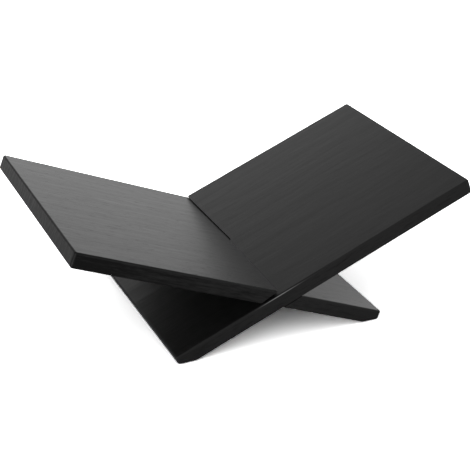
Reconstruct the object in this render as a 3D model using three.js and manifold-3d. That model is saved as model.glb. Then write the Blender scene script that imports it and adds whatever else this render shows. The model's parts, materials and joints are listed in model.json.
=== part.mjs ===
// Book display stand: two flat boards of black-stained wood that cross in an X.
// Each board is slotted to about mid-depth at the angle of the crossing, so that the two
// slide together from front and back, stand on their bevelled feet and hold an open book
// in the V above the crossing. Nothing else holds them: no glue, pin or screw.
//
// Lengths are in millimetres and angles in degrees. +Z is up, +X is to the right and the
// front is at -Y. The origin is on the floor under the middle of the stand.

import * as THREE from 'three';
import { mergeVertices } from 'three/addons/utils/BufferGeometryUtils.js';
import Module from 'manifold-3d';

// The boards, alike on both sides
const boardLength = 358; // along the slope, from the foot's end to the upper end
const boardDepth = 260; // from the front edge to the back edge
const boardThickness = 16;
const crossingFromFoot = 124; // along the slope, from the foot's end to the crossing
const slopeDegrees = 22.3; // of each board to the floor
const footFlatShare = 0.42; // of the end face, cut away by the flat that stands on the floor

// The slots: one runs in from the left board's front edge, the other from the right board's
// back edge. Each is a little wider at its mouth, so that the boards slide together easily.
const leftSlotLength = 132;
const slotEndClearance = 0.3; // between the two blind ends, where they meet
const seatClearance = 0.3; // between a board and the edge on the foot's side that carries it
const seatRelief = 1; // added there at the slotted board's lower face, as the wall is cut steeper
const leftSlotUpperGap = 4.8; // between a board's upper face and the slot's other wall, at the
const leftSlotLowerGap = 2.4; // slotted board's upper face and at its lower face, at the mouth
const leftSlotBlindGap = 0.5; // there at the blind end, from top to bottom
const rightSlotUpperGap = 1.2;
const rightSlotLowerGap = 1;
const rightSlotBlindGap = 0.5;

// Sanded edges
const endEasing = 1.8; // of the edges that run from front to back
const sideEasing = 2.2; // of the edges along the front and the back, and of the four corners
const slotEasing = 0.5; // of the slot's edges
const curveSteps = 5; // facets round an eased edge

const cutOverrun = 5; // how far a cutter stands out of the board

const slope = THREE.MathUtils.degToRad(slopeDegrees);
const crossingAngle = 2 * slope;
const halfThickness = boardThickness / 2;
const upperLength = boardLength - crossingFromFoot;
const rightSlotLength = boardDepth - leftSlotLength + slotEndClearance;

// Height on the end face, from mid-thickness, at which the foot's flat meets it
const footFlatTop = boardThickness * footFlatShare - halfThickness;
const crossingHeight = crossingFromFoot * Math.sin(slope) - footFlatTop * Math.cos(slope);

const blackStainedWood = {
  color: 0x2c2b2a,
  roughness: 0.52,
  metalness: 0,
};

const wasm = await Module();
wasm.setup();

function toSolid(geometry) {
  geometry.deleteAttribute('normal');
  geometry.deleteAttribute('uv');
  const merged = mergeVertices(geometry);
  const mesh = new wasm.Mesh({
    numProp: 3,
    vertProperties: new Float32Array(merged.attributes.position.array),
    triVerts: new Uint32Array(merged.index.array),
  });
  return new wasm.Manifold(mesh);
}

function toGeometry(solid) {
  const mesh = solid.getMesh();
  const indexed = new THREE.BufferGeometry();
  indexed.setAttribute('position', new THREE.BufferAttribute(mesh.vertProperties, 3));
  indexed.setIndex(new THREE.BufferAttribute(mesh.triVerts, 1));
  const faceted = indexed.toNonIndexed();
  faceted.computeVertexNormals();
  return faceted;
}

// A closed outline through the corners, each one rounded off over the easing on both sides
function easedOutline(corners, easing) {
  const shape = new THREE.Shape();
  corners.forEach((corner, i) => {
    const before = corners.at(i - 1);
    const after = corners[(i + 1) % corners.length];
    const start = corner.clone().add(before.clone().sub(corner).setLength(easing));
    const end = corner.clone().add(after.clone().sub(corner).setLength(easing));
    if (i === 0) shape.moveTo(start.x, start.y);
    else shape.lineTo(start.x, start.y);
    shape.quadraticCurveTo(corner.x, corner.y, end.x, end.y);
  });
  shape.closePath();
  return shape;
}

// Turns an extrusion so that it runs along Y, and sets its front end at frontY
function standAlongY(geometry, length, frontY) {
  return geometry.rotateX(Math.PI / 2).translate(0, frontY + length, 0);
}

// Turns an extrusion so that it runs along X, with its outline seen from the foot's end
function layAlongX(geometry, startX) {
  const turned = new THREE.Matrix4().makeBasis(
    new THREE.Vector3(0, 1, 0),
    new THREE.Vector3(0, 0, 1),
    new THREE.Vector3(1, 0, 0),
  );
  return geometry.applyMatrix4(turned).translate(startX, 0, 0);
}

function rectangle(left, right, lower, upper) {
  return [
    new THREE.Vector2(left, lower),
    new THREE.Vector2(right, lower),
    new THREE.Vector2(right, upper),
    new THREE.Vector2(left, upper),
  ];
}

function extrude(shape, depth) {
  return new THREE.ExtrudeGeometry(shape, { depth, bevelEnabled: false, curveSegments: curveSteps });
}

// A board is what its three views have in common, each with its corners eased. Before it is
// tilted, X runs down the slope from the crossing to the foot, Y is its depth and Z its
// thickness. The foot's flat is level once the board is tilted.
function boardSolid() {
  const footFlatRun = (footFlatTop + halfThickness) / Math.tan(slope);
  const halfDepth = boardDepth / 2;
  const frontView = easedOutline(
    [
      new THREE.Vector2(-upperLength, halfThickness),
      new THREE.Vector2(-upperLength, -halfThickness),
      new THREE.Vector2(crossingFromFoot - footFlatRun, -halfThickness),
      new THREE.Vector2(crossingFromFoot, footFlatTop),
      new THREE.Vector2(crossingFromFoot, halfThickness),
    ],
    endEasing,
  );
  const endView = easedOutline(
    rectangle(-halfDepth, halfDepth, -halfThickness, halfThickness),
    sideEasing,
  );
  const planView = easedOutline(
    rectangle(-upperLength, crossingFromFoot, -halfDepth, halfDepth),
    sideEasing,
  );
  const fromFront = standAlongY(extrude(frontView, boardDepth), boardDepth, -halfDepth);
  const fromEnd = layAlongX(extrude(endView, boardLength), -upperLength);
  const fromAbove = extrude(planView, boardThickness).translate(0, 0, -halfThickness);
  // The front view comes last, because in that order one flat facet covers the middle of the
  // upper face and ends at the crossing
  return toSolid(fromAbove).intersect(toSolid(fromEnd)).intersect(toSolid(fromFront));
}

// The slot's section at its mouth, in the same view. Both walls lean with the other board, which rests
// against the wall on the foot's side, and stand steeper than it, so each gap narrows or widens.
function slotOutline(upperGap, lowerGap) {
  const lean = boardThickness / Math.tan(crossingAngle);
  const across = (gap) => (halfThickness + gap) / Math.sin(crossingAngle);
  const headTop = lean / 2 - across(upperGap);
  const headFoot = -lean / 2 - across(lowerGap);
  const seatTop = lean / 2 + across(seatClearance);
  const seatFoot = -lean / 2 + across(seatClearance + seatRelief);
  const easedShare = slotEasing / boardThickness;
  const headRun = (headTop - headFoot) * easedShare;
  const seatRun = (seatTop - seatFoot) * easedShare;
  const cutterHalf = halfThickness + cutOverrun;
  return new THREE.Shape([
    new THREE.Vector2(headFoot - slotEasing, -cutterHalf),
    new THREE.Vector2(seatFoot + slotEasing, -cutterHalf),
    new THREE.Vector2(seatFoot + slotEasing, -halfThickness),
    new THREE.Vector2(seatFoot + seatRun, slotEasing - halfThickness),
    new THREE.Vector2(seatTop - seatRun, halfThickness - slotEasing),
    new THREE.Vector2(seatTop + slotEasing, halfThickness),
    new THREE.Vector2(seatTop + slotEasing, cutterHalf),
    new THREE.Vector2(headTop - slotEasing, cutterHalf),
    new THREE.Vector2(headTop - slotEasing, halfThickness),
    new THREE.Vector2(headTop - headRun, halfThickness - slotEasing),
    new THREE.Vector2(headFoot + headRun, slotEasing - halfThickness),
    new THREE.Vector2(headFoot - slotEasing, -halfThickness),
  ]);
}

// Narrows a cutter that stands along Y towards its blind end, where the wall on the upper
// end's side has come in by one distance at the upper face and another at the lower face
function narrowInwards(geometry, slotLength, upperRun, lowerRun) {
  const position = geometry.attributes.position;
  for (let i = 0; i < position.count; i += 1) {
    const heightShare = (position.getZ(i) + halfThickness) / boardThickness;
    const inwardShare = (position.getY(i) + boardDepth / 2) / slotLength;
    const run = THREE.MathUtils.lerp(lowerRun, upperRun, heightShare) * inwardShare;
    if (position.getX(i) < 0) position.setX(i, position.getX(i) + run);
  }
  return geometry;
}

// A board with its slot cut in from the front edge, and the slot's mouth eased there too
function makeBoard(name, slotLength, upperGap, lowerGap, blindGap) {
  const outline = slotOutline(upperGap, lowerGap);
  const cutterFront = -boardDepth / 2 - cutOverrun;
  const slotCut = standAlongY(
    extrude(outline, cutOverrun + slotLength),
    cutOverrun + slotLength,
    cutterFront,
  );
  const mouthCut = standAlongY(
    new THREE.ExtrudeGeometry(outline, {
      depth: cutOverrun,
      bevelThickness: slotEasing,
      bevelSize: slotEasing,
      bevelSegments: 1,
    }),
    cutOverrun,
    cutterFront,
  );
  const upperRun = (upperGap - blindGap) / Math.sin(crossingAngle);
  const lowerRun = (lowerGap - blindGap) / Math.sin(crossingAngle);
  const solid = boardSolid()
    .subtract(toSolid(narrowInwards(slotCut, slotLength, upperRun, lowerRun)))
    .subtract(toSolid(mouthCut));
  const board = new THREE.Mesh(toGeometry(solid), new THREE.MeshStandardMaterial(blackStainedWood));
  board.name = name;
  board.rotation.y = slope;
  board.position.z = crossingHeight;
  return board;
}

const stand = new THREE.Group();
stand.add(
  makeBoard('left_board', leftSlotLength, leftSlotUpperGap, leftSlotLowerGap, leftSlotBlindGap),
);

// The right board is made like the left one and turned half round, so that its slot faces back
const turnedBoard = new THREE.Group();
turnedBoard.rotation.z = Math.PI;
turnedBoard.add(
  makeBoard('right_board', rightSlotLength, rightSlotUpperGap, rightSlotLowerGap, rightSlotBlindGap),
);
stand.add(turnedBoard);

export default stand;
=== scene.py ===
# Book display stand: two slotted boards of black-stained ash that cross in an X.
# Metres throughout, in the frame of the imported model: +Z up, +X right, front at -Y.

import json
import math

import bpy
import numpy as np
from mathutils import Matrix, Vector


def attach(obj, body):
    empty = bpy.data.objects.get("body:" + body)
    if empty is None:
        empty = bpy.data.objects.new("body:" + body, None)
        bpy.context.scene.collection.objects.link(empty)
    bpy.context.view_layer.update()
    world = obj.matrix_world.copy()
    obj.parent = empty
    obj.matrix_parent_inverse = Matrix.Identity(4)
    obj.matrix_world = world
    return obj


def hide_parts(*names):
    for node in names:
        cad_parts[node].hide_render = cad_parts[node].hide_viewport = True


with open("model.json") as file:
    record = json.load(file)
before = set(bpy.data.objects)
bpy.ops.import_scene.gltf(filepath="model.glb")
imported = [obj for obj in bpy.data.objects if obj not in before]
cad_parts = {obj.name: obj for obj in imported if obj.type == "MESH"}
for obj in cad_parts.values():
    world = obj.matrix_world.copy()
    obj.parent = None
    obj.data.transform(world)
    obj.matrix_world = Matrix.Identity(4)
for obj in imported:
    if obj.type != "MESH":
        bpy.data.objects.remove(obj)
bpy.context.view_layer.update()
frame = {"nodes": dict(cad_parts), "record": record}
print("frame loaded:", sorted(frame["nodes"]))

mm = 0.001


# An sRGB hex colour as linear red, green, blue and alpha
def linear(hexColour):
    srgb = np.array([int(hexColour[i:i + 2], 16) for i in (1, 3, 5)]) / 255
    rgb = np.where(srgb <= 0.04045, srgb / 12.92, ((srgb + 0.055) / 1.055) ** 2.4)
    return (*rgb.tolist(), 1.0)


# Adds one node with its settings. An input is a value, or a node or a socket to link from. Where
# a Mix node mixes colours, its inputs 6 and 7 are the two colours and its output 2 the mixed one.
def addNode(tree, kind, inputs={}, **settings):
    node = tree.nodes.new("ShaderNode" + kind)
    for name, value in settings.items():
        setattr(node, name, value)
    for name, value in inputs.items():
        source = value.outputs[0] if isinstance(value, bpy.types.Node) else value
        if isinstance(source, bpy.types.NodeSocket):
            tree.links.new(source, node.inputs[name])
        else:
            node.inputs[name].default_value = source
    return node


# A new material without nodes, and its node tree
def emptyMaterial(name):
    material = bpy.data.materials.new(name)
    material.use_nodes = True
    material.node_tree.nodes.clear()
    return material, material.node_tree


# Camera: where the photograph was taken from

camera = {
    "place": (-480.90 * mm, -1056.1 * mm, 624.80 * mm),
    "yaw": 24.714,  # degrees to the right of straight back
    "pitch": 25.809,  # degrees down
    "roll": 0.594,  # degrees, which raises the camera's right side
    "lens": 90.25,  # millimetres, on a sensor of the next value
    "sensor": 36,
    "clip": (0.01, 60),  # nearest and farthest that it sees
}


# The camera's axes: ahead along its yaw and pitch, to the right along the level turned up by
# its roll, and up, square to both
def makeCamera():
    yaw, pitch, roll = (math.radians(camera[key]) for key in ("yaw", "pitch", "roll"))
    ahead = Vector((math.sin(yaw), math.cos(yaw), -math.tan(pitch))).normalized()
    level = ahead.cross(Vector((0, 0, 1))).normalized()
    right = math.cos(roll) * level + math.sin(roll) * level.cross(ahead)
    turned = Matrix((right, right.cross(ahead), -ahead)).transposed().to_4x4()
    data = bpy.data.cameras.new("camera")
    data.lens, data.sensor_width = camera["lens"], camera["sensor"]
    data.clip_start, data.clip_end = camera["clip"]
    eye = bpy.data.objects.new("camera", data)
    eye.matrix_world = Matrix.Translation(camera["place"]) @ turned
    bpy.context.scene.collection.objects.link(eye)
    bpy.context.scene.camera = eye


makeCamera()
print("camera made")


# Studio: a pale floor, an even white surround, a softbox to each side and two behind, which
# the boards' upper faces show as sheen

studio = {
    "surround": "#ffffff",  # and the floor, where it shows as a background
    "surroundLevel": 0.67,  # on what is lit, where the background itself is 1
    "floor": "#e6e6e6",
    "floorSeen": 3,  # how much lighter the camera sees it, so that it is white round the shadow
    "floorSize": 12,  # from side to side
    "floorLevel": -0.05 * mm,  # just under the feet, so that their flats show from below
    # Each softbox faces the object: its width and height, its place, and its power in watts
    "softboxes": {
        "left softbox": ((1.2, 0.9), (-1.85, -0.7, 0.46), 15),
        "right softbox": ((1.2, 0.9), (1.76, 0.9, 0.46), 6),
        "low back softbox": ((2.4, 1.04), (0.15, 1.89, 0.53), 6.4),
        "high back softbox": ((1.1, 1.1), (0.08, 1.74, 0.98), 2.3),
    },
}


# 1 for the rays that show a background: the camera's own, and those in gloss or through glass
def showsBackground(tree, path):
    shown = path["Is Camera Ray"]
    for other in ("Is Glossy Ray", "Is Transmission Ray"):
        shown = addNode(tree, "Math", {0: shown, 1: path[other]}, operation="MAXIMUM")
    return shown


def makeSurround():
    world = bpy.data.worlds.new("white surround")
    world.use_nodes = True
    tree = world.node_tree
    tree.nodes.clear()
    seen = showsBackground(tree, addNode(tree, "LightPath").outputs)
    level = addNode(tree, "MapRange", {"Value": seen, "To Min": studio["surroundLevel"], "To Max": 1})
    light = addNode(tree, "Background", {"Color": linear(studio["surround"]), "Strength": level})
    addNode(tree, "OutputWorld", {"Surface": light})
    bpy.context.scene.world = world


# Matt floor paint. It keeps the object's shadow, and is clear from below.
def floorPaint():
    material, tree = emptyMaterial("matt studio floor paint")
    path = addNode(tree, "LightPath").outputs
    shown = addNode(
        tree,
        "Mix",
        {
            "Factor": showsBackground(tree, path),
            6: linear(studio["floor"]),
            7: linear(studio["surround"]),
        },
        data_type="RGBA",
    ).outputs[2]
    lighter = addNode(
        tree, "MapRange", {"Value": path["Is Camera Ray"], "To Min": 1, "To Max": studio["floorSeen"]}
    )
    colour = addNode(tree, "VectorMath", {0: shown, "Scale": lighter}, operation="SCALE")
    matt = addNode(tree, "BsdfDiffuse", {"Color": colour})
    clear = addNode(tree, "BsdfTransparent")
    below = addNode(tree, "NewGeometry").outputs["Backfacing"]
    side = addNode(tree, "MixShader", {0: below, 1: matt, 2: clear})
    addNode(tree, "OutputMaterial", {"Surface": side})
    return material


def makeFloor():
    half, level = studio["floorSize"] / 2, studio["floorLevel"]
    corners = [(x * half, y * half, level) for x, y in ((-1, -1), (1, -1), (1, 1), (-1, 1))]
    mesh = bpy.data.meshes.new("floor")
    mesh.from_pydata(corners, [], [(0, 1, 2, 3)])
    mesh.materials.append(floorPaint())
    floor = bpy.data.objects.new("floor", mesh)
    bpy.context.scene.collection.objects.link(floor)


def makeSoftboxes():
    for name, (size, place, watts) in studio["softboxes"].items():
        data = bpy.data.lights.new(name, "AREA")
        data.shape = "RECTANGLE"
        data.size, data.size_y = size
        data.energy = watts
        lamp = bpy.data.objects.new(name, data)
        lamp.location = place
        lamp.rotation_euler = (-lamp.location).to_track_quat("-Z", "Y").to_euler()
        lamp.visible_camera = False
        bpy.context.scene.collection.objects.link(lamp)


makeSurround()
makeFloor()
makeSoftboxes()
bpy.context.scene.view_settings.view_transform = "Standard"
print("studio made")


# Wood: ash, planed along the grain, stained black and sealed with a thin satin lacquer. The
# eye sees a near-black board whose brightness is all sheen, strong only at a low angle and
# drawn into fine streaks along the grain, with duller arrises. The upper arrises of the front
# and back are paler, partly as sanded-thin stain and partly as a painted highlight, and the
# upper arris opposite each slot's mouth carries a thin pale line near the crossing, a painted
# highlight where the boards would rub.

wood = {
    "stain": "#020202",
    "paleStain": "#1e1e1e",  # where the wood takes less of it
    # How near to the pale stain each board is, at its upper end and at its foot, before what
    # follows is added
    "paleness": {"left_board": (-0.6, 0.6), "right_board": (0.45, 0.3)},
    "faceUnevenness": 0.3,  # how unevenly the broad faces take it, times the streaks
    "sawnUnevenness": 1.5,  # added to that on the sawn front and back
    "sawnThin": 0.6,  # paleness added on the sawn front and back
    "sandedPaleAndHighlight": 1.1,  # and along their upper arris, as sanded-thin stain and as painted highlight
    "endThin": 0.5,  # and on end grain
    "sawMarks": 3,  # and there in the marks of the saw, times their noise
    "paintedHighlight": "#c4c4c4",  # pale colour of a painted highlight on the arris near the crossing
    "ior": 1.2,  # low, as the lacquer is thin and sinks into the open grain
    "roughness": 0.26,
    "waveLength": 130 * mm,  # of the grain's wandering
    "waveDetail": 1,
    "swing": 2.5 * mm,  # how far it wanders to each side
    # Each layer's length along the board, width across it and height through it. In real wood
    # the fibres and pores are narrower, too fine to show here.
    "figure": (90 * mm, 16 * mm, 26 * mm),
    "fibre": (34 * mm, 3.2 * mm, 2.4 * mm),
    "pore": (9 * mm, 1.3 * mm, 1.3 * mm),
    "sawMark": (60 * mm, 4.4 * mm, 9 * mm),
    "layerDetail": 2,
    "relief": 0.035 * mm,  # height of the raised fibres
    "figureRelief": 7,  # times that, as are the next two
    "poreRelief": -0.6,
    "sawRelief": 7,  # on end grain
    "poreOpening": (0.6, 0.72),  # where in the noise a pore starts and is fully open
    "fibreRoughness": 0.1,  # each of these adds to the roughness where it is at its most
    "poreRoughness": 0.12,
    "arrisRoughness": 0.25,
    "endRoughness": 0.05,
}


def ebonisedAsh():
    noiseMean = 0.5  # of every noise, which runs from 0 to 1
    material, tree = emptyMaterial("black-stained ash, planed and satin-lacquered")
    grainPlace = addNode(tree, "Attribute", attribute_name="grainPlace").outputs["Vector"]
    arris, endGrain, sawn, sandedAndHighlight, paleness, paintedHighlight = (
        addNode(tree, "Attribute", attribute_name=name).outputs["Fac"]
        for name in ("arris", "endGrain", "sawn", "sandedAndHighlight", "paleness", "paintedHighlight")
    )

    # The grain wanders across and through the board, never along it
    wave = addNode(
        tree,
        "TexNoise",
        {"Vector": grainPlace, "Scale": 1 / wood["waveLength"], "Detail": wood["waveDetail"]},
    )
    swing = (0, 2 * wood["swing"], 2 * wood["swing"])
    wandering = addNode(
        tree, "VectorMath", {0: wave.outputs["Color"], 1: swing, 2: grainPlace}, operation="MULTIPLY_ADD"
    )

    # Each layer is noise drawn out along the board, as long and as wide as its streaks
    layers = {}
    for name in ("figure", "fibre", "pore", "sawMark"):
        perMetre = [1 / size for size in wood[name]]
        drawn = addNode(tree, "VectorMath", {0: wandering, 1: perMetre}, operation="MULTIPLY")
        layers[name] = addNode(
            tree, "TexNoise", {"Vector": drawn, "Scale": 1, "Detail": wood["layerDetail"]}
        )
    start, end = wood["poreOpening"]
    pores = addNode(tree, "MapRange", {"Value": layers["pore"], "From Min": start, "From Max": end})

    # The stain is paler or darker with the fibres and the pores
    both = addNode(tree, "Math", {0: layers["fibre"], 1: layers["pore"]}, operation="ADD")
    streaks = addNode(tree, "Math", {0: both, 1: 2 * noiseMean}, operation="SUBTRACT")
    unevenness = addNode(
        tree,
        "Math",
        {0: sawn, 1: wood["sawnUnevenness"], 2: wood["faceUnevenness"]},
        operation="MULTIPLY_ADD",
    )
    pale = addNode(tree, "Math", {0: streaks, 1: unevenness, 2: paleness}, operation="MULTIPLY_ADD")

    # The marks of the saw show on end grain alone
    marks = addNode(tree, "Math", {0: layers["sawMark"], 1: noiseMean}, operation="SUBTRACT")
    marked = addNode(tree, "Math", {0: marks, 1: endGrain}, operation="MULTIPLY")
    for place, amount in (
        (sawn, wood["sawnThin"]),
        (sandedAndHighlight, wood["sandedPaleAndHighlight"]),
        (endGrain, wood["endThin"]),
        (marked, wood["sawMarks"]),
    ):
        pale = addNode(tree, "Math", {0: place, 1: amount, 2: pale}, operation="MULTIPLY_ADD")
    colour = linear(wood["stain"])
    # The pale stain is mixed in, and then the pale colour of the painted highlight near the crossing
    for factor, over in ((pale, wood["paleStain"]), (paintedHighlight, wood["paintedHighlight"])):
        colour = addNode(
            tree, "Mix", {"Factor": factor, 6: colour, 7: linear(over)}, data_type="RGBA"
        ).outputs[2]

    # Roughness, and the height of the raised fibres that the bump follows
    roughness, height = wood["roughness"], layers["fibre"]
    for layer, amount in (
        (layers["fibre"], wood["fibreRoughness"]),
        (pores, wood["poreRoughness"]),
        (arris, wood["arrisRoughness"]),
        (endGrain, wood["endRoughness"]),
    ):
        roughness = addNode(
            tree, "Math", {0: layer, 1: amount, 2: roughness}, operation="MULTIPLY_ADD"
        )
    for layer, amount in (
        (layers["figure"], wood["figureRelief"]),
        (pores, wood["poreRelief"]),
        (marked, wood["sawRelief"]),
    ):
        height = addNode(tree, "Math", {0: layer, 1: amount, 2: height}, operation="MULTIPLY_ADD")
    bump = addNode(tree, "Bump", {"Height": height, "Distance": wood["relief"]})
    shader = addNode(
        tree,
        "BsdfPrincipled",
        {"Base Color": colour, "Roughness": roughness, "IOR": wood["ior"], "Normal": bump},
    )
    addNode(tree, "OutputMaterial", {"Surface": shader})
    return material


# Boards: a sanded edge profile carried round the outline of each board, slot and all, and
# flat faces closing it above and below. The main sizes are read off the frame.

board = {
    "endEasing": 1.8 * mm,  # of the arrises at the two ends
    "sideEasing": 2.2 * mm,  # of those along the front and the back
    "lowerShare": 0.4,  # of that at their lower arrises, which are left crisper
    "slotEasing": 0.05 * mm,  # of those along the slot
    "cornerRadius": 3.4 * mm,  # of the board's corners, seen from above
    "seatRadius": 0.5 * mm,  # of the corner at the slot's mouth on the foot's side
    "blindRadius": 0.4 * mm,  # left in the slot's inner corners
    "footEasing": 0.5 * mm,  # where the level flat meets the end face
    "sanding": 0.08,  # share by which the easing varies along an edge
    "sandingWaves": (97 * mm, 41 * mm, 17 * mm),  # lengths over which it does
    "seatClearance": 0.3 * mm,  # under the board that passes through the slot
    "seatRelief": 0.4 * mm,  # added there at the slot's lower edge
    "fade": 35 * mm,  # distance beyond the slot over which the points cease to lean with its walls
    # Where the painted highlight lies: on the upper arris opposite the slot's mouth, near the crossing,
    # where the other board would rub it
    "highlightPlace": -4 * mm,  # from the crossing, below 0 towards the upper end
    "highlightReach": 17 * mm,  # to each side of that
    "highlightTurn": 0.95,  # radians round the arris from the upper face
    "highlightSpread": 0.085,  # radians to each side
    "step": 4 * mm,  # between points of the outline
    "arcSteps": 3,  # from a corner's start to its middle
    "profileSteps": 9,  # round an arris
    "flatSteps": 4,  # over the easing where the level flat meets the end face
    # Levels of the wall's points above and below that, as shares of half the thickness
    "upperWallShares": (0.65, 0.325, 0),
    "lowerWallShares": (-0.45, -0.6, -0.75),
}
slots = {
    "left_board": {
        "facing": 1,  # its slot opens to the front, and it rises to the left
        "length": 132 * mm,  # from its mouth to its blind end
        "upperGap": 4.8 * mm,  # to the other board's upper face, at the slotted board's
        "lowerGap": 2.4 * mm,  # upper face and at its lower face, at the slot's mouth
        "blindGap": 0.5 * mm,  # at its blind end, as the slot narrows inwards
        "mouthRadius": 1.2 * mm,  # of the corner at its mouth, on the upper end's side
    },
    "right_board": {
        "facing": -1,  # turned half round: its slot opens to the back, and it rises to the right
        "length": 128.3 * mm,
        "upperGap": 1.2 * mm,
        "lowerGap": 1 * mm,
        "blindGap": 0.8 * mm,
        "mouthRadius": 0.5 * mm,
    },
}

# The boards' slope, off the axis of the mount on the left board's upper face
mounts = {mount["name"]: mount for mount in frame["record"]["mounts"]}
faceAxis = mounts["left_book_face"]["axis"]
slope = math.atan2(faceAxis[0], faceAxis[2])


# A board's own axes as rows: down the slope to its foot, along its depth, and out of its
# upper face. The right board is the left one turned half round.
def boardAxes(facing):
    down, level = math.sin(slope), math.cos(slope)
    return np.array([(facing * level, 0, -down), (0, facing, 0), (facing * down, 0, level)])


# A board's sizes off its CAD node: how far its points reach along its own axes, taken from
# the middle of the crossing, which lies on the board's mid-plane above the frame's origin. Its
# height there is the mid-plane's distance from the origin over the cosine of the slope, and
# the flat meets the foot's end at the level where that end comes down to the floor.
def measureBoard(node, axes):
    vertices = frame["nodes"][node].data.vertices
    points = np.empty(len(vertices) * 3, np.float32)
    vertices.foreach_get("co", points)
    reach = points.reshape(-1, 3) @ axes.T
    low, high = reach.min(0), reach.max(0)
    crossing = (low[2] + high[2]) / 2 / math.cos(slope)
    upperEnd, footEnd = (end + crossing * math.sin(slope) for end in (low[0], high[0]))
    return {
        "crossing": crossing,
        "upperEnd": upperEnd,
        "footEnd": footEnd,
        "flatTop": (footEnd * math.sin(slope) - crossing) / math.cos(slope),
        "halfDepth": (high[1] - low[1]) / 2,
        "halfThickness": (high[2] - low[2]) / 2,
    }


# Middle and lean of the slot's walls: the head, at the mouth and at the blind end, and the
# seat. Each follows a face of the other board, which at any level lies along by the level over
# the tangent of the angle between the boards, plus or minus its distance over the sine. The
# lean is how far the wall goes along from the lower face to the upper one, over the thickness.
def slotWalls(size, slot):
    half, walls = size["halfThickness"], {}
    for wall, side, upperGap, lowerGap in (
        ("mouthHead", -1, slot["upperGap"], slot["lowerGap"]),
        ("blindHead", -1, slot["blindGap"], slot["blindGap"]),
        ("seat", 1, board["seatClearance"], board["seatClearance"] + board["seatRelief"]),
    ):
        upper = half / math.tan(2 * slope) + side * (half + upperGap) / math.sin(2 * slope)
        lower = -half / math.tan(2 * slope) + side * (half + lowerGap) / math.sin(2 * slope)
        walls[wall] = ((upper + lower) / 2, (upper - lower) / (2 * half))
    return walls


# An outline as straight runs between rounded corners: a straight run is start plus share
# times length, and a corner is centre plus radius times the cosine and sine of its turn. A
# run goes from the middle of one corner to the middle of the next, less its last point.
def outlineRuns(corners, radii, counts):
    ahead = np.roll(corners, -1, 0) - corners
    ahead /= np.linalg.norm(ahead, axis=1)[:, None]
    behind = np.roll(ahead, 1, 0)
    eighth = math.pi / 4

    def halfCorner(k, first):
        steps = board["arcSteps"] if radii[k] else 0
        turn = first + np.arange(steps)[:, None] / board["arcSteps"] * eighth
        centre = corners[k] + radii[k] * (ahead[k] - behind[k])
        arc = centre + radii[k] * (behind[k] * np.sin(turn) - ahead[k] * np.cos(turn))
        return np.hstack([arc, behind[k] * np.cos(turn) + ahead[k] * np.sin(turn)])

    runs = []
    for i, count in enumerate(counts):
        j = (i + 1) % len(corners)
        start, end = corners[i] + radii[i] * ahead[i], corners[j] - radii[j] * ahead[i]
        share = np.arange(count)[:, None] / count
        straight = np.hstack([start + share * (end - start), np.tile(ahead[i], (count, 1))])
        runs.append(np.vstack([halfCorner(i, eighth), straight, halfCorner(j, 0)]))
    return runs


# A board's outline as ten runs, clockwise from the foot's front corner: the foot's front, the
# slot's seat, blind end and head, the limb's front, the upper end, the limb's back, the stretch
# past the slot, the foot's back and the foot's end. The stretch past the slot lies between two
# corners that only mark where the lines past the slot's inner corners reach the back. Opposite
# sides of a face get as many points, counting those of their corners, and the lines past the
# slot's inner corners have as many steps as the number returned with the runs.
def boardOutline(size, slot, walls):
    mouth, head, seat = (walls[wall][0] for wall in ("mouthHead", "blindHead", "seat"))
    front, back = -size["halfDepth"], size["halfDepth"]
    blind = front + slot["length"]
    upperEnd, footEnd = size["upperEnd"], size["footEnd"]
    corners = np.array([
        (footEnd, front), (seat, front), (seat, blind), (head, blind), (mouth, front),
        (upperEnd, front), (upperEnd, back), (head, back), (seat, back), (footEnd, back),
    ])
    outer, inner = board["cornerRadius"], board["blindRadius"]
    seatLip, headLip = board["seatRadius"], slot["mouthRadius"]
    radii = np.array([outer, seatLip, inner, inner, headLip, outer, outer, 0, 0, outer])

    steps = board["arcSteps"]
    foot, bridge, limb, slotSide, beyond = (
        math.ceil(length / board["step"])
        for length in (footEnd - seat, seat - head, mouth - upperEnd, blind - front, back - blind)
    )
    counts = [
        foot, slotSide, bridge, slotSide, limb, slotSide + beyond, limb + steps,
        bridge + 2 * steps, foot + steps, slotSide + beyond,
    ]
    return outlineRuns(corners, radii, counts), beyond


# The easing at each point of the outline: that of its run, averaged with its neighbours so
# that it changes smoothly at the corners, times one plus a mean of sines of the distance
# travelled, as hand sanding leaves it. The sines start elsewhere on the other board.
def sandedEasing(along, across, lengths, facing):
    side, slotEdge, end = board["sideEasing"], board["slotEasing"], board["endEasing"]
    easings = [side, slotEdge, slotEdge, slotEdge, side, end, side, side, side, end]
    easing = np.repeat(easings, lengths)
    steps = board["arcSteps"]
    easing = np.mean([np.roll(easing, shift) for shift in range(-steps, steps + 1)], 0)
    apart = np.hypot(along - np.roll(along, 1), across - np.roll(across, 1))
    travelled = np.cumsum(apart) + facing * board["step"]
    waver = np.mean([np.sin(2 * math.pi * travelled / w) for w in board["sandingWaves"]], 0)
    return easing * (1 + board["sanding"] * waver)


# The edge's profile at each point of the outline: a quarter circle from the upper face, the
# wall, and a quarter circle to the lower face. A quarter circle drops by the easing times one
# less the cosine of its turn, and is set in by the easing times one less the sine.
def edgeProfile(size, easing, outAcross, turn):
    half = size["halfThickness"]
    aboutFlat = np.linspace(1, -1, board["flatSteps"] + 1) * board["footEasing"]
    wall = np.concatenate([
        np.multiply(board["upperWallShares"], half),
        size["flatTop"] + aboutFlat,
        np.multiply(board["lowerWallShares"], half),
    ])
    wallLevel = np.tile(wall, (len(easing), 1))
    upperEasing = easing[:, None]
    lowerEasing = upperEasing * (1 - (1 - board["lowerShare"]) * np.abs(outAcross)[:, None])
    drop, setIn = 1 - np.cos(turn), 1 - np.sin(turn)
    level = np.hstack([half - upperEasing * drop, wallLevel, lowerEasing * drop[::-1] - half])
    inset = np.hstack([upperEasing * setIn, 0 * wallLevel, lowerEasing * setIn[::-1]])
    return level, inset
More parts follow.
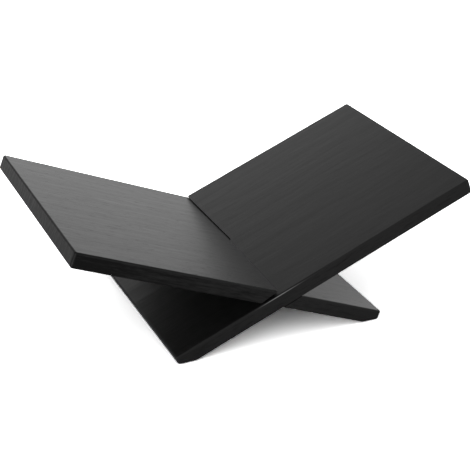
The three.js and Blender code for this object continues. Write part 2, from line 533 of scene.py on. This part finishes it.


# How far each point is, from 0 to 1, on an arris, on end grain, on the sawn front or back,
# on the paler upper arris (sanded-thin stain and painted highlight), and in the thin painted
# highlight near the crossing. Along the profile the first is the sine of twice the turn, the
# next two are the square of its sine and 1 on the wall, the fourth is the product of both on
# the upper arris alone, and the last is a bell about the highlight's turn.
def edgeMarks(turn, wallPoints, outAlong, outAcross, highlightAlong):
    flat, lower = np.zeros(wallPoints), turn[::-1]
    arris = np.concatenate([np.sin(2 * turn), flat, np.sin(2 * lower)])
    upright = np.concatenate([np.sin(turn), flat + 1, np.sin(lower)]) ** 2
    # The upper arris is painted paler, partly as sanded-thin stain and partly as painted highlight
    sandedAndHighlight = np.concatenate([np.sin(2 * turn) * np.sin(turn) ** 2, flat, 0 * turn])
    # Painted highlight: a thin bell round the upper arris
    highlightBell = np.exp(-((turn - board["highlightTurn"]) / board["highlightSpread"]) ** 2)
    paintedHighlight = np.concatenate([highlightBell, flat, 0 * turn])
    toEnd, toSide = np.abs(outAlong), np.abs(outAcross)
    shares = (np.ones(len(highlightAlong)), toEnd, toSide, toSide, highlightAlong)
    profiles = (arris, upright, upright, sandedAndHighlight, paintedHighlight)
    return [share[:, None] * profile for share, profile in zip(shares, profiles)]


# A ramp that is 0 up to minus the width and the distance itself from the width on. Between
# them it is the square of distance plus width, over four widths.
def easedRamp(distance, width):
    eased = np.clip(distance + width, 0, 2 * width) ** 2 / (4 * width)
    return eased + np.maximum(distance - width, 0)


# How far each point leans along the board from upright. Near the slot that is the lean of its
# walls times the level. Towards the foot's end the points are drawn back to the level flat, by
# their depth below the flat's top over the tangent of the slope.
def leanAlong(size, slot, walls, along, across, level):
    (mouth, mouthLean), (head, headLean) = walls["mouthHead"], walls["blindHead"]
    seat, seatLean = walls["seat"]
    fade = board["fade"]
    inwards = np.clip((across + size["halfDepth"]) / slot["length"], 0, 1)
    headAt = mouth + inwards * (head - mouth)
    headLeans = mouthLean + inwards * (headLean - mouthLean)
    towardsSeat = np.clip((along - headAt) / (seat - headAt), 0, 1)
    near = np.clip(1 - np.maximum(headAt - along, along - seat) / fade, 0, 1)
    lean = near * (headLeans + towardsSeat * (seatLean - headLeans))

    # The foot is cut back in full before its end's corners begin
    footRun = size["footEnd"] - 2 * board["cornerRadius"] - seat - fade
    atFoot = np.clip((along - seat - fade) / footRun, 0, 1)
    cutBack = easedRamp(size["flatTop"] - level, board["footEasing"]) / math.tan(slope)
    return lean[:, None] * level - atFoot[:, None] * cutBack


# Adds a grid of points to a shape and returns the grid of their numbers
def addPoints(shape, block):
    first = sum(len(points) for points in shape["points"])
    shape["points"].append(block.reshape(-1, block.shape[-1]))
    return first + np.arange(block[..., 0].size).reshape(block.shape[:-1])


# Adds a four-sided face between each four neighbours of a grid of numbered points
def addQuads(shape, grid, smooth, flipped=False):
    quads = np.stack([grid[:-1, :-1], grid[1:, :-1], grid[1:, 1:], grid[:-1, 1:]], -1)
    quads = quads.reshape(-1, 4)
    shape["quads"].append(quads[:, ::-1] if flipped else quads)
    shape["smooth"].append(np.full(len(quads), smooth))


# A straight line of new points between two numbered ones, start plus share times length
def addLine(shape, start, end, count):
    points = np.concatenate(shape["points"])
    share = np.arange(1, count)[:, None] / count
    between = addPoints(shape, points[start] + share * (points[end] - points[start]))
    return np.concatenate([[start], between, [end]])


# A flat face between four sides of numbered points: the blend of south and north, plus the
# blend of west and east, less the blend of the four corners
def addPatch(shape, south, north, west, east, flipped):
    points = np.concatenate(shape["points"])
    u = np.linspace(0, 1, len(south))[:, None]
    v = np.linspace(0, 1, len(west))[:, None, None]
    depthwise = (1 - v) * points[south] + v * points[north]
    lengthwise = (1 - u) * points[west][:, None] + u * points[east][:, None]
    southEnds = (1 - u) * points[south[0]] + u * points[south[-1]]
    northEnds = (1 - u) * points[north[0]] + u * points[north[-1]]
    block = depthwise + lengthwise - (1 - v) * southEnds - v * northEnds
    grid = np.empty(block.shape[:2], int)
    grid[0], grid[-1], grid[:, 0], grid[:, -1] = south, north, west, east
    grid[1:-1, 1:-1] = addPoints(shape, block[1:-1, 1:-1])
    addQuads(shape, grid, False, flipped)


# Closes a board inside the edge's first and last lines, its rims, with three flat faces each:
# from the slot to the upper end, beyond the slot's blind end, and from the slot to the foot
def closeFaces(shape, grid, lengths, beyond):
    starts = np.cumsum([0] + lengths)
    for rim, flipped in ((grid[:, 0], True), (grid[:, -1], False)):
        run = [rim[(starts[i] + np.arange(n + 1)) % len(rim)] for i, n in enumerate(lengths)]
        headLine = addLine(shape, run[3][0], run[7][0], beyond)
        seatLine = addLine(shape, run[2][0], run[8][0], beyond)
        headSide = np.concatenate([run[3][::-1], headLine[1:]])
        seatSide = np.concatenate([run[1], seatLine[1:]])
        addPatch(shape, run[4][::-1], run[6], run[5], headSide, flipped)
        addPatch(shape, run[2][::-1], run[7], headLine, seatLine, flipped)
        addPatch(shape, run[0][::-1], run[8], seatSide, run[9][::-1], flipped)


# The board before it is placed: the edge's profile carried round the outline, set in along its
# outward direction and leaning, and closed. Every point has its place along, across and through
# the board, and then its marks.
def boardShape(size, slot):
    walls = slotWalls(size, slot)
    runs, beyond = boardOutline(size, slot, walls)
    lengths = [len(run) for run in runs]
    along, across, travelAlong, travelAcross = np.vstack(runs).T
    outAlong, outAcross = -travelAcross, travelAlong

    easing = sandedEasing(along, across, lengths, slot["facing"])
    turn = np.linspace(0, math.pi / 2, board["profileSteps"] + 1)
    level, inset = edgeProfile(size, easing, outAcross, turn)
    leant = leanAlong(size, slot, walls, along, across, level)

    # A painted highlight on the upper arris opposite the slot's mouth, near the crossing where the other
    # board would rub it
    opposite = across > size["halfDepth"] - board["cornerRadius"]
    fromPlace = (along - board["highlightPlace"]) / board["highlightReach"]
    highlightAlong = opposite * np.exp(-fromPlace ** 2)

    wallPoints = level.shape[1] - 2 * len(turn)
    block = np.stack([
        along[:, None] - inset * outAlong[:, None] + leant,
        across[:, None] - inset * outAcross[:, None],
        level,
        *edgeMarks(turn, wallPoints, outAlong, outAcross, highlightAlong),
    ], -1)

    shape = {"points": [], "quads": [], "smooth": []}
    grid = addPoints(shape, block)
    addQuads(shape, np.vstack([grid, grid[:1]]), True)
    closeFaces(shape, grid, lengths, beyond)
    return {key: np.concatenate(blocks) for key, blocks in shape.items()}


# One board: its shape, placed by its own axes above the frame's origin, with each mark and the
# grain's place as attributes that the wood reads
def makeBoard(node, slot, material):
    axes = boardAxes(slot["facing"])
    size = measureBoard(node, axes)
    shape = boardShape(size, slot)
    local = shape["points"][:, :3]
    mesh = bpy.data.meshes.new(node + "_wood")
    placed = local @ axes + (0, 0, size["crossing"])
    mesh.from_pydata(placed.tolist(), [], shape["quads"].tolist())
    mesh.polygons.foreach_set("use_smooth", shape["smooth"])

    # The grain is the same solid pattern through and through, from another tree in each board
    grain = mesh.attributes.new("grainPlace", "FLOAT_VECTOR", "POINT")
    grain.data.foreach_set("vector", (local + slot["facing"]).astype(np.float32).ravel())
    share = (local[:, 0] - size["upperEnd"]) / (size["footEnd"] - size["upperEnd"])
    paleness = np.interp(share, (0, 1), wood["paleness"][node])
    columns = [*shape["points"][:, 3:].T, paleness]
    for name, column in zip(("arris", "endGrain", "sawn", "sandedAndHighlight", "paintedHighlight", "paleness"), columns):
        values = mesh.attributes.new(name, "FLOAT", "POINT")
        values.data.foreach_set("value", column.astype(np.float32))
    mesh.materials.append(material)
    mesh.update()

    piece = bpy.data.objects.new(node + "_wood", mesh)
    bpy.context.scene.collection.objects.link(piece)
    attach(piece, node)
    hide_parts(node)
    print(node, "made,", len(mesh.polygons), "faces")


ash = ebonisedAsh()
print("wood made")
for node, slot in slots.items():
    makeBoard(node, slot, ash)
